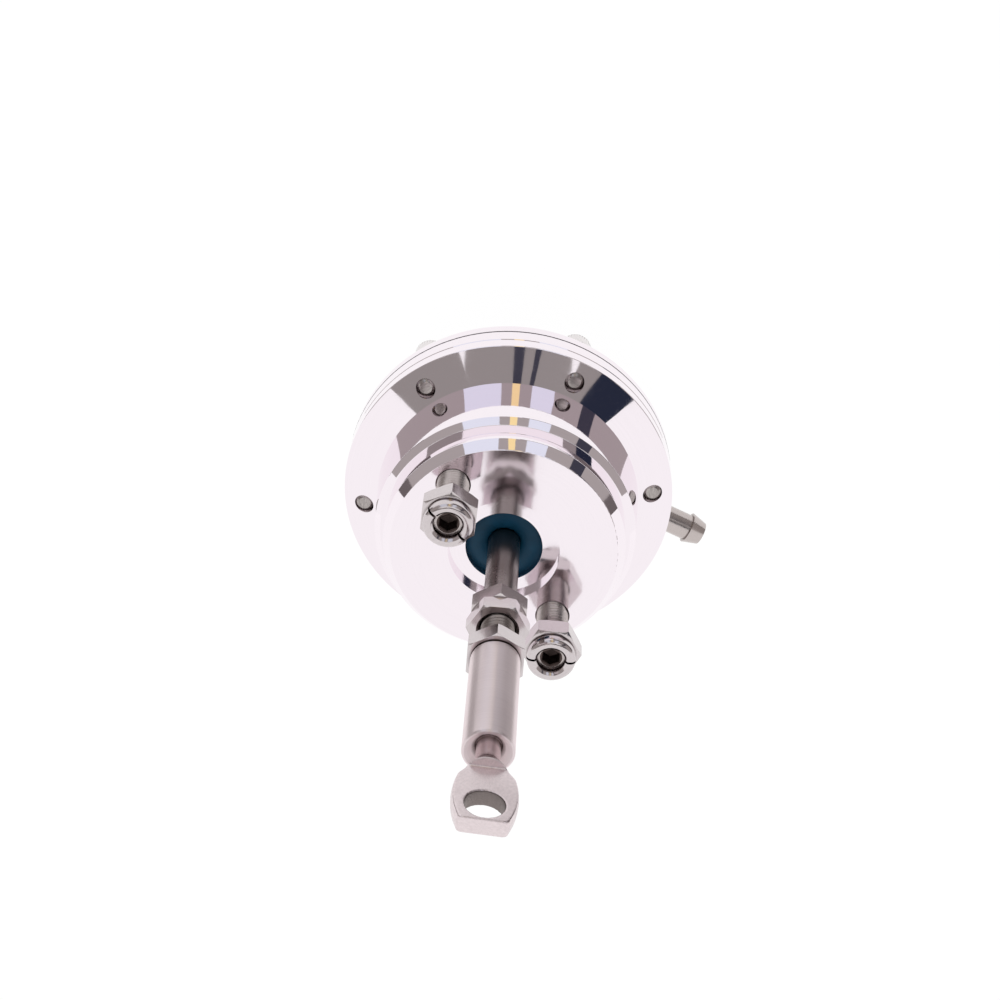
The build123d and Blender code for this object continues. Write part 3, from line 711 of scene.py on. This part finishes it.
def eye():
    """Rod end: turned side, two milled flats and a drilled hole, edges rubbed round."""
    bottom, top = span("rod_end_eye")
    seat = span("adjuster_sleeve")[1]
    centre = seat + 19.9                # of the hole
    flat, hole, facing = 2.0, 4.27, 79.0        # half its thickness, radius, way it faces
    widest, side, curve = centre - 3.5, 7.0, 21.5       # the bulging side: height, radii
    outline = [(0, bottom), (3.0, bottom), (3.0, seat - 2.2), (2.7, seat - 2.2)]
    neck, shoulder = seat + 3.2, seat + 8.0
    for step in range(9):
        share = step / 8
        outline.append((2.7 + 2.05 * share ** 1.7, neck + (shoulder - neck) * share))
    outline.append((4.75, shoulder + 0.4))
    turned_in = 1.1                     # round of the end
    for step in range(25):
        height = seat + 10.7 + (top - turned_in - seat - 10.7) * step / 24
        reach = side - curve + sqrt(curve**2 - (height - widest) ** 2)
        outline.append((reach, height))
    for step in range(1, 9):
        bend = radians(step * 90 / 8)
        inset = turned_in * (1 - cos(bend))
        outline.append((reach - inset, top - turned_in * (1 - sin(bend))))
    outline.append((0, top))
    mesh = bmesh.new()
    turned_mesh(mesh, lambda angle: outline)
    away = Vector((cos(radians(facing)), sin(radians(facing))))
    cuts = []
    for way in (-1, 1):
        middle = away * way * (flat + side)
        size = (2 * side, 4 * side, 2 * (top - shoulder))
        cuts.append(slab((*middle, top - 0.2), size, facing))
    drill = bmesh.new()
    bmesh.ops.create_cone(
        drill, cap_ends=True, segments=96, radius1=hole * MM, radius2=hole * MM,
        depth=4 * side * MM,
    )
    lean = Matrix.Rotation(radians(facing), 3, "Z") @ Matrix.Rotation(pi / 2, 3, "Y")
    bmesh.ops.rotate(drill, verts=drill.verts, matrix=lean)
    bmesh.ops.translate(drill, verts=drill.verts, vec=(0, 0, centre * MM))
    data = bpy.data.meshes.new("drill")
    drill.to_mesh(data)
    drill.free()
    cuts.append(bpy.data.objects.new("drill", data))
    bpy.context.scene.collection.objects.link(cuts[-1])
    made = piece(
        "rod_eye", mesh, "adjuster", "satin_stainless", "rod_end_eye", cuts=cuts, rubbed=0.15,
        sharp=80,
    )
    for cutter in cuts:
        bpy.data.objects.remove(cutter)
    # Faces in the hole take the painted shade; faces of the neck take the paler copy with its
    # painted highlight.
    made.data.materials.append(MATERIALS["eye_bore_shade"])
    made.data.materials.append(MATERIALS["eye_neck_highlight"])
    along = Vector((*away, 0))
    for face in made.data.polygons:
        off = face.center / MM - Vector((0, 0, centre))
        deep = abs(off.dot(along)) < flat - 0.12
        if deep and (off - along * off.dot(along)).length < hole + 0.2:
            face.material_index = 1
        elif face.center.z / MM < shoulder - 1 and face.center.xy.length / MM < 4.2:
            face.material_index = 2


def springs():
    """Coil springs that shorten as the rod slides out; their front ends stay put."""
    rows, ring = 44, 14                 # steps in a turn, and points round the wire
    for name, node, wire, turns in (    # wire is half its thickness
        ("spring_outside", "outer_spring", 1.6, 6), ("spring_inside", "inner_spring", 1.1, 7),
    ):
        low, high = span(node)
        coil = (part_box(node)[1][0]) / MM - wire
        mesh = bmesh.new()
        loops = []
        for step in range(rows * turns + 1):
            angle = 2 * pi * step / rows
            height = low + (high - low) * step / (rows * turns)
            loop = []
            for corner in range(ring):
                bend = 2 * pi * corner / ring
                reach = coil + wire * cos(bend)
                rise = min(max(height + wire * sin(bend), low), high)
                place = (reach * cos(angle), reach * sin(angle), rise)
                loop.append(mesh.verts.new([value * MM for value in place]))
            loops.append(loop)
        for here, there in zip(loops, loops[1:]):
            for corner in range(ring):
                after = (corner + 1) % ring
                mesh.faces.new((here[corner], there[corner], there[after], here[after]))
        mesh.faces.new(loops[0])
        mesh.faces.new(list(reversed(loops[-1])))
        made = piece(name, mesh, "housing", "spring_steel", node, sharp=50)
        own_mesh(made)


floor()
studio_walls()
sky()
camera()
dress_nodes()
rod_nuts()
studs()
stud_nuts()
rod()
screws()
eye()
springs()
